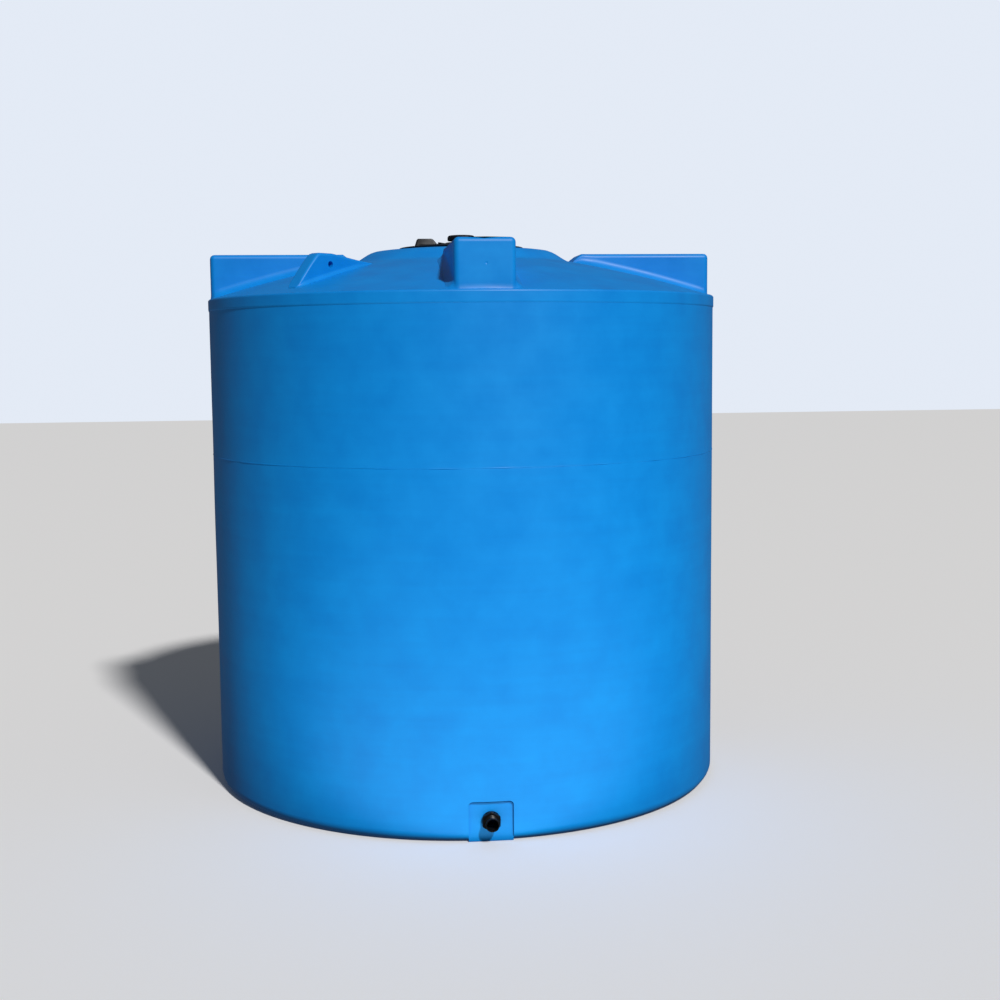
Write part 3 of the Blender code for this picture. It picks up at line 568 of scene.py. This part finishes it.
# %% Material helpers
def linear(hex_colour):
    """Turns an sRGB hex colour to the linear values that a shader wants."""
    parts = [int(hex_colour[i:i + 2], 16) / 255 for i in (0, 2, 4)]
    return (*[p / 12.92 if p <= 0.04045 else ((p + 0.055) / 1.055) ** 2.4 for p in parts], 1)


def add_node(tree, kind, settings=None, **links):
    """Adds one node. Settings are its own properties; links are its sockets, wired or given a value."""
    made = tree.nodes.new(kind)
    for name, value in (settings or {}).items():
        setattr(made, name, value)
    for name, value in links.items():
        socket = made.inputs[int(name[1:])] if name[1:].isdigit() else made.inputs[name.replace("_", " ")]
        if isinstance(value, bpy.types.NodeSocket):
            tree.links.new(value, socket)
        else:
            socket.default_value = value
    return made


def new_material(name, hex_colour, roughness, metallic=0.0, **constants):
    made = bpy.data.materials.new(name)
    made.use_nodes = True
    shader = made.node_tree.nodes["Principled BSDF"]
    shader.inputs["Base Color"].default_value = linear(hex_colour)
    shader.inputs["Roughness"].default_value = roughness
    shader.inputs["Metallic"].default_value = metallic
    for socket, value in constants.items():
        shader.inputs[socket.replace("_", " ")].default_value = value
    return made, made.node_tree, shader


def wire(tree, output, shader, socket):
    tree.links.new(output, shader.inputs[socket])


# %% The blue
PEEL = 0.004  # one orange-peel bump is about 4 mm across
MOTTLE = 0.13  # one patch of uneven pigment
STREAK = 0.035  # one level streak is this high


def blue_polyethylene():
    made, tree, shader = new_material("rotomoulded_polyethylene_blue", "0085DB", 0.45, IOR=1.51,
                                      Specular_IOR_Level=0.36)
    place = add_node(tree, "ShaderNodeTexCoord").outputs["Object"]
    mottle = add_node(tree, "ShaderNodeTexNoise", Vector=place, Scale=1 / MOTTLE, Detail=5.0,
                      Roughness=0.6).outputs["Fac"]
    level = add_node(tree, "ShaderNodeMapping", Vector=place, Scale=(1.2, 1.2, 1 / STREAK))
    streak = add_node(tree, "ShaderNodeTexNoise", Vector=level.outputs["Vector"], Scale=1.0,
                      Detail=4.0, Roughness=0.7).outputs["Fac"]
    pigment = add_node(tree, "ShaderNodeMath", {"operation": "MULTIPLY_ADD"}, _0=streak, _1=0.45,
                       _2=mottle).outputs[0]
    ramp = add_node(tree, "ShaderNodeValToRGB", Fac=add_node(
        tree, "ShaderNodeMapRange", Value=pigment, From_Min=0.5, From_Max=0.95).outputs[0])
    ramp.color_ramp.elements[0].color = linear("0080D6")
    ramp.color_ramp.elements[1].color = linear("008BE0")
    wire(tree, ramp.outputs["Color"], shader, "Base Color")
    peel = add_node(tree, "ShaderNodeTexNoise", Vector=place, Scale=1 / PEEL, Detail=2.0).outputs["Fac"]
    soft = add_node(tree, "ShaderNodeTexNoise", Vector=place, Scale=6.0, Detail=1.0).outputs["Fac"]
    gloss = add_node(tree, "ShaderNodeMapRange", Value=mottle, From_Min=0.3, From_Max=0.7,
                     To_Min=0.40, To_Max=0.50).outputs[0]
    wire(tree, gloss, shader, "Roughness")
    slow = add_node(tree, "ShaderNodeBump", Height=soft, Strength=0.25, Distance=0.003)
    fine = add_node(tree, "ShaderNodeBump", Height=peel, Strength=0.16, Distance=0.0006,
                    Normal=slow.outputs["Normal"])
    wire(tree, fine.outputs["Normal"], shader, "Normal")
    return made


tank_blue = blue_polyethylene()
skin.data.materials.clear()
skin.data.materials.append(tank_blue)
print("material", tank_blue.name)


# %% [markdown]
# ## Black injection-moulded parts
# The lid, the vent and the wall fittings are injection moulded, so they copy a steel tool that is
# lightly sparked: nearly black, a little glossier than the tank, with a very fine grain and a trace
# of pale dust on faces that look up.

# %% Black plastic
GRAIN = 0.0016  # the sparked grain is finer than this, but finer would not show


def black_plastic(name, hex_colour, dust_hex, roughness, grain):
    made, tree, shader = new_material(name, hex_colour, roughness, IOR=1.50, Specular_IOR_Level=0.4)
    place = add_node(tree, "ShaderNodeTexCoord").outputs["Object"]
    up = add_node(tree, "ShaderNodeSeparateXYZ",
                  Vector=add_node(tree, "ShaderNodeNewGeometry").outputs["Normal"]).outputs["Z"]
    cloud = add_node(tree, "ShaderNodeTexNoise", Vector=place, Scale=38.0, Detail=6.0,
                     Roughness=0.65).outputs["Fac"]
    lying = add_node(tree, "ShaderNodeMapRange", Value=up, From_Min=0.2, From_Max=1.0,
                     To_Max=0.55).outputs[0]
    dust = add_node(tree, "ShaderNodeMath", {"operation": "MULTIPLY"}, _0=lying, _1=cloud).outputs[0]
    colour = add_node(tree, "ShaderNodeMix", {"data_type": "RGBA"}, Factor=dust, _6=linear(hex_colour),
                      _7=linear(dust_hex)).outputs[2]
    wire(tree, colour, shader, "Base Color")
    rough = add_node(tree, "ShaderNodeMapRange", Value=cloud, From_Min=0.3, From_Max=0.7,
                     To_Min=roughness - 0.06, To_Max=roughness + 0.10).outputs[0]
    wire(tree, rough, shader, "Roughness")
    grit = add_node(tree, "ShaderNodeTexNoise", Vector=place, Scale=1 / grain, Detail=2.0).outputs["Fac"]
    bump = add_node(tree, "ShaderNodeBump", Height=grit, Strength=0.25, Distance=0.00025)
    wire(tree, bump.outputs["Normal"], shader, "Normal")
    return made


lid_black = black_plastic("moulded_polyethylene_black", "0A0D13", "30363E", 0.40, GRAIN)
nylon_black = black_plastic("glass_filled_nylon_black", "08090B", "24272B", 0.24, GRAIN)
print("materials", lid_black.name, nylon_black.name)

# %% [markdown]
# ## The screw lid
# The lid is a shallow pan with a threaded plug underneath and four hand grips on top. The pan is
# turned from its outline. Each grip starts as a block whose top is drawn in, and its edges are then
# rounded, because hands pull on it. The plug's thread is a coil made with a Screw modifier.

# %% Helpers for the lid and the fittings
def coil(name, root, crest, half, pitch, turns, start):
    """One closed ridge of triangular section, wound round +Z."""
    bpy.ops.mesh.primitive_circle_add(vertices=3, radius=0.01)
    obj = bpy.context.object
    obj.name = name
    for vert, place in zip(obj.data.vertices, ((root, 0, -half), (crest, 0, 0), (root, 0, half))):
        vert.co = place
    winding = obj.modifiers.new("winding", "SCREW")
    winding.angle, winding.screw_offset = 2 * pi, pitch
    winding.iterations, winding.steps, winding.render_steps = turns, 40, 40
    bpy.ops.object.modifier_apply(modifier="winding")
    start_edit(obj)
    bpy.ops.mesh.select_all(action="DESELECT")
    bpy.ops.mesh.select_mode(type="EDGE")
    bpy.ops.mesh.select_non_manifold()
    bpy.ops.mesh.fill()
    bpy.ops.mesh.select_mode(type="VERT")
    bpy.ops.mesh.select_all(action="SELECT")
    bpy.ops.transform.translate(value=(0, 0, start))
    tidy_faces(1e-6)
    end_edit()
    return obj


def bevel_edges(obj, width, segments, angle=30):
    """Rounds every edge that is sharper than an angle, with a Bevel modifier that is applied."""
    modifier = obj.modifiers.new("rounding", "BEVEL")
    modifier.width, modifier.segments = width, segments
    modifier.limit_method, modifier.angle_limit = "ANGLE", radians(angle)
    bpy.context.view_layer.objects.active = obj
    bpy.ops.object.modifier_apply(modifier="rounding")


def finish_piece(obj, body, material, replaced, angle=35):
    obj.data.materials.clear()
    obj.data.materials.append(material)
    for polygon in obj.data.polygons:
        polygon.material_index = 0
    shade(obj, angle)
    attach(obj, body)
    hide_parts(*replaced)
    print(obj.name, count(obj), "triangles")


# %% Turn the pan, add the grips and wind the thread
LID_BASE = NECK_TOP + 0.0036
LID_RADIUS = 0.2365
HUB_TOP = LID_BASE + 0.0264
PLUG_RADIUS = 0.2055


def pan_outline():
    """From the vent's hole over the top, down the plug and back along the underside."""
    hub = arc((0.058, HUB_TOP - 0.004), 0.004, 90, 45, 3)
    top = [(0.0208, HUB_TOP), (0.045, HUB_TOP)] + hub + [(0.0745, LID_BASE + 0.0140)]
    top += [(0.080, LID_BASE + 0.0126), (0.120, LID_BASE + 0.0124), (0.178, LID_BASE + 0.0124)]
    top += [(0.184, LID_BASE + 0.0118), (0.200, LID_BASE + 0.0068), (0.206, LID_BASE + 0.0055)]
    edge = arc((LID_RADIUS - 0.0025, LID_BASE + 0.0025), 0.0025, 90, -90, 8)
    plug = [(PLUG_RADIUS, LID_BASE), (PLUG_RADIUS, LID_BASE - 0.038), (PLUG_RADIUS - 0.002, LID_BASE - 0.040)]
    under = [(PLUG_RADIUS - 0.005, LID_BASE - 0.040), (PLUG_RADIUS - 0.005, LID_BASE)]
    under += [(0.1785, LID_BASE + 0.0079), (0.0738, LID_BASE + 0.0109), (0.0598, HUB_TOP - 0.0045)]
    return top + [(0.215, LID_BASE + 0.0050)] + edge + plug + under + [(0.0208, HUB_TOP - 0.0045), top[0]]


def hand_grip(azimuth):
    """A block whose outer and inner ends lean in towards its top."""
    bpy.ops.mesh.primitive_cube_add(size=1)
    obj = bpy.context.object
    low, high = LID_BASE + 0.004, LID_BASE + 0.0414
    for vert in obj.data.vertices:
        far, raised = vert.co.y < 0, vert.co.z > 0
        out = (0.180 - 0.012 * raised) if far else (0.077 + 0.033 * raised)
        half = 0.019 - 0.0015 * raised
        vert.co = (half if vert.co.x > 0 else -half, -out, high if raised else low)
    bevel_edges(obj, 0.0055, 4, 20)
    obj.data.transform(Matrix.Rotation(radians(azimuth), 4, "Z"))
    return obj


def stiffening_rib(azimuth):
    """A low rib from the hub to the rim of the pan, rounded along its top."""
    bpy.ops.mesh.primitive_cube_add(size=1)
    obj = bpy.context.object
    for vert in obj.data.vertices:
        out = 0.196 if vert.co.y < 0 else 0.066
        rise = LID_BASE + (0.0165 if vert.co.z > 0 else 0.003)
        vert.co = (0.002 if vert.co.x > 0 else -0.002, -out, rise)
    bevel_edges(obj, 0.0014, 2, 20)
    obj.data.transform(Matrix.Rotation(radians(azimuth), 4, "Z"))
    return obj


lid = spin_outline("screw_lid", pan_outline(), 144)
additions = [hand_grip(azimuth) for azimuth in (0, 90, 180, 270)]
additions += [stiffening_rib(azimuth + step) for azimuth in (0, 90, 180, 270) for step in (30, 60)]
bpy.ops.object.select_all(action="DESELECT")
for addition in additions:
    boolean(lid, addition, "UNION")
bevel_edges(lid, 0.0008, 2, 32)
lid_thread = coil("lid_thread", PLUG_RADIUS - 0.001, PLUG_RADIUS + 0.0019, 0.0024, 0.012, 2, LID_BASE - 0.032)
bpy.ops.object.select_all(action="DESELECT")
finish_piece(join_objects([lid, lid_thread]), "lid", lid_black, ["manway_lid"])

# %% [markdown]
# ## The vent's cap
# A mushroom cap covers the vent so that rain can't fall in. Its skirt is ribbed for fingers. The
# ribs are made by drawing the skirt's outer vertices in along a wave that runs 24 times round it.

# %% Turn the cap and rib its skirt
CAP_RADIUS = 0.052
CAP_TOP = HUB_TOP + 0.0286
CAP_FOOT = CAP_TOP - 0.021
CAP_STEPS = 96


def cap_outline():
    crown = [(0, CAP_TOP), (0.018, CAP_TOP - 0.0001), (0.031, CAP_TOP - 0.0008)]
    shoulder = arc((CAP_RADIUS - 0.009, CAP_TOP - 0.0102), 0.0088, 78, 4, 8)
    skirt = [(CAP_RADIUS, CAP_TOP - 0.012), (CAP_RADIUS, CAP_FOOT + 0.003), (CAP_RADIUS - 0.0006, CAP_FOOT)]
    inside = [(CAP_RADIUS - 0.0026, CAP_FOOT), (CAP_RADIUS - 0.0034, CAP_TOP - 0.012)]
    roof = [(CAP_RADIUS - 0.012, CAP_TOP - 0.0045), (0.0233, CAP_TOP - 0.0026)]
    hub = [(0.0233, CAP_TOP - 0.0176), (0.0203, CAP_TOP - 0.0176), (0.0203, CAP_TOP - 0.0026)]
    return crown + shoulder + skirt + inside + roof + hub + [(0, CAP_TOP - 0.0026)]


cap = spin_outline("vent_cap_finished", cap_outline(), CAP_STEPS)
for vert in cap.data.vertices:
    radius = hypot(vert.co.x, vert.co.y)
    if radius > CAP_RADIUS - 0.0009 and vert.co.z < CAP_TOP - 0.0115:
        flute = 0.5 - 0.5 * cos(24 * np.arctan2(vert.co.y, vert.co.x))
        vert.co.xy *= 1 - 0.0011 * flute / radius
finish_piece(cap, "lid", lid_black, ["vent_cap"], 40)

# %% [markdown]
# ## The outlet and the overflow
# Each is a threaded barrel clamped through the wall: a flange and a rubber inside, a washer and a
# round-shouldered nut outside. The thread shows between the nut and the barrel's end. Both are the
# same purchased part, so it is modelled once on +Z and each copy is turned to its hole.

# %% Model the barrel, the washer and the nut
BARREL, BORE = 0.024, 0.019


def barrel(name, reach):
    """A bored and threaded barrel with its flange, along +Z from the wall's outer face."""
    flange_top = -WALL - 0.0036
    flange_low = flange_top - 0.007
    core = BARREL - 0.0009
    outline = [(BORE, flange_low), (0.0365, flange_low), (0.038, flange_low + 0.0015), (0.038, flange_top),
               (core, flange_top), (core, reach - 0.002), (core - 0.0016, reach), (BORE + 0.001, reach),
               (BORE, reach - 0.001), (BORE, flange_low)]
    tube = spin_outline(name, outline, 72)
    turns = int((reach - 0.022) / 0.0032)
    ridge = coil("ridge", core - 0.0008, BARREL, 0.0013, 0.0032, turns, reach - 0.0045 - turns * 0.0032)
    return join_objects([tube, ridge])


def flat_ring(name, inner, outer, low, high, ease):
    outline = [(inner, low), (outer - ease, low), (outer, low + ease), (outer, high - ease),
               (outer - ease, high), (inner + ease, high), (inner, high - ease), (inner, low)]
    return spin_outline(name, outline, 72)


def round_nut(name, flats, bore, low, high):
    """A nut with six wide flats whose corners and upper edge are well rounded."""
    middle = (low + high) / 2
    bpy.ops.mesh.primitive_cylinder_add(vertices=6, radius=flats / 2 / cos(pi / 6), depth=high - low,
                                        location=(0, 0, middle))
    nut = bpy.context.object
    nut.name = name
    bpy.ops.object.transform_apply(location=True, rotation=True, scale=True)
    start_edit(nut)
    bpy.ops.mesh.select_all(action="DESELECT")
    edit = bmesh.from_edit_mesh(nut.data)
    for edge in edit.edges:
        a, b = (vert.co for vert in edge.verts)
        edge.select_set(abs(a.z - b.z) > 1e-4)
    bmesh.update_edit_mesh(nut.data)
    bpy.ops.mesh.bevel(offset=flats * 0.19, offset_type="OFFSET", segments=6, affect="EDGES")
    end_edit()
    bevel_edges(nut, 0.0042, 5, 50)
    bpy.ops.mesh.primitive_cylinder_add(vertices=72, radius=bore, depth=0.1, location=(0, 0, middle))
    boolean(nut, bpy.context.object, "DIFFERENCE")
    bpy.ops.object.select_all(action="DESELECT")
    return nut


def on_wall(side, height, face, azimuth):
    """The place of a fitting that was made along +Z: on a flat face, pointing out of it."""
    spot = (side, -face, height) if azimuth == 0 else (side, face, height)
    return Matrix.Translation(spot) @ Matrix.Rotation(radians(azimuth), 4, "Z") @ Matrix.Rotation(pi / 2, 4, "X")


def fit_through_wall(prefix, place, reach):
    washer_top, nut_top = 0.0046, 0.0189
    made = [
        (barrel(f"{prefix}_barrel", reach), f"{prefix}_fitting"),
        (flat_ring(f"{prefix}_washer", 0.0248, 0.032, 0.0003, 0.0043, 0.0009), f"{prefix}_outer_washer"),
        (round_nut(f"{prefix}_nut", 0.0605, BARREL + 0.0001, washer_top, nut_top), f"{prefix}_backnut"),
    ]
    for obj, node in made:
        obj.data.transform(place)
        finish_piece(obj, "tank", nylon_black, [node])


fit_through_wall("outlet", on_wall(0, OUTLET_HEIGHT, FLAT_FACE, 0), 0.055)
fit_through_wall("overflow", on_wall(-0.045, 1.885, LAND_FACE, 180), 0.050)


# %% [markdown]
# ## The pieces that keep their CAD shape
# The valve, the arm, the seals and the screens are already exact, so they keep their meshes and get
# finishes. Rubber is matt with a powdery bloom. Brass is turned, so it has rings round its axis and
# darker patches where it tarnishes. Stainless steel is drawn. The float is orange polyethylene.

# %% Rubber, brass, stainless steel and orange polyethylene
def rubber():
    made, tree, shader = new_material("epdm_rubber_black", "1C1C1D", 0.75, IOR=1.52)
    place = add_node(tree, "ShaderNodeTexCoord").outputs["Object"]
    bloom = add_node(tree, "ShaderNodeTexNoise", Vector=place, Scale=60.0, Detail=8.0, Roughness=0.7).outputs["Fac"]
    tone = add_node(tree, "ShaderNodeMix", {"data_type": "RGBA"}, Factor=bloom, _6=linear("141414"),
                    _7=linear("34353A")).outputs[2]
    wire(tree, tone, shader, "Base Color")
    bump = add_node(tree, "ShaderNodeBump", Height=bloom, Strength=0.2, Distance=0.0003)
    wire(tree, bump.outputs["Normal"], shader, "Normal")
    return made


def worked_metal(name, hex_colour, dark_hex, roughness, ring):
    """A machined metal: fine rings of the cutting tool, and blotches where it has dulled."""
    made, tree, shader = new_material(name, hex_colour, roughness, 1.0)
    place = add_node(tree, "ShaderNodeTexCoord").outputs["Object"]
    blotch = add_node(tree, "ShaderNodeTexNoise", Vector=place, Scale=90.0, Detail=6.0, Roughness=0.6).outputs["Fac"]
    dulled = add_node(tree, "ShaderNodeMapRange", Value=blotch, From_Min=0.42, From_Max=0.72).outputs[0]
    tone = add_node(tree, "ShaderNodeMix", {"data_type": "RGBA"}, Factor=dulled, _6=linear(hex_colour),
                    _7=linear(dark_hex)).outputs[2]
    wire(tree, tone, shader, "Base Color")
    rings = add_node(tree, "ShaderNodeTexWave", {"bands_direction": "Y"}, Vector=place, Scale=1 / ring,
                     Distortion=1.5, Detail=2.0).outputs["Fac"]
    rough = add_node(tree, "ShaderNodeMapRange", Value=dulled, To_Min=roughness - 0.05,
                     To_Max=roughness + 0.18).outputs[0]
    wire(tree, rough, shader, "Roughness")
    bump = add_node(tree, "ShaderNodeBump", Height=rings, Strength=0.12, Distance=0.0002)
    wire(tree, bump.outputs["Normal"], shader, "Normal")
    return made


def orange_float():
    made, tree, shader = new_material("blow_moulded_polyethylene_orange", "D9601E", 0.42, IOR=1.51)
    place = add_node(tree, "ShaderNodeTexCoord").outputs["Object"]
    scale = add_node(tree, "ShaderNodeTexNoise", Vector=place, Scale=45.0, Detail=6.0, Roughness=0.65).outputs["Fac"]
    film = add_node(tree, "ShaderNodeMapRange", Value=scale, From_Min=0.45, From_Max=0.75, To_Max=0.5).outputs[0]
    tone = add_node(tree, "ShaderNodeMix", {"data_type": "RGBA"}, Factor=film, _6=linear("DB5F1B"),
                    _7=linear("C98A5C")).outputs[2]
    wire(tree, tone, shader, "Base Color")
    bump = add_node(tree, "ShaderNodeBump", Height=scale, Strength=0.15, Distance=0.0005)
    wire(tree, bump.outputs["Normal"], shader, "Normal")
    return made


FINISHES = {
    "rubber_black": rubber(),
    "brass": worked_metal("turned_brass", "C9A14A", "7A5A2A", 0.28, 0.0006),
    "stainless_steel": worked_metal("drawn_stainless_steel", "B9BBBD", "86888A", 0.30, 0.0008),
    "polyethylene_orange": orange_float(),
    "nylon_black": nylon_black,
    "polyethylene_black": lid_black,
    "polyethylene_blue": tank_blue,
}
print("finishes", sorted(FINISHES))

# %% Give each CAD node its finish
for name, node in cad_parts.items():
    for place in node.material_slots:
        base = place.material.name.split(".")[0] if place.material else ""
        if base in FINISHES:
            place.material = FINISHES[base]
    print(name, [place.material.name for place in node.material_slots])
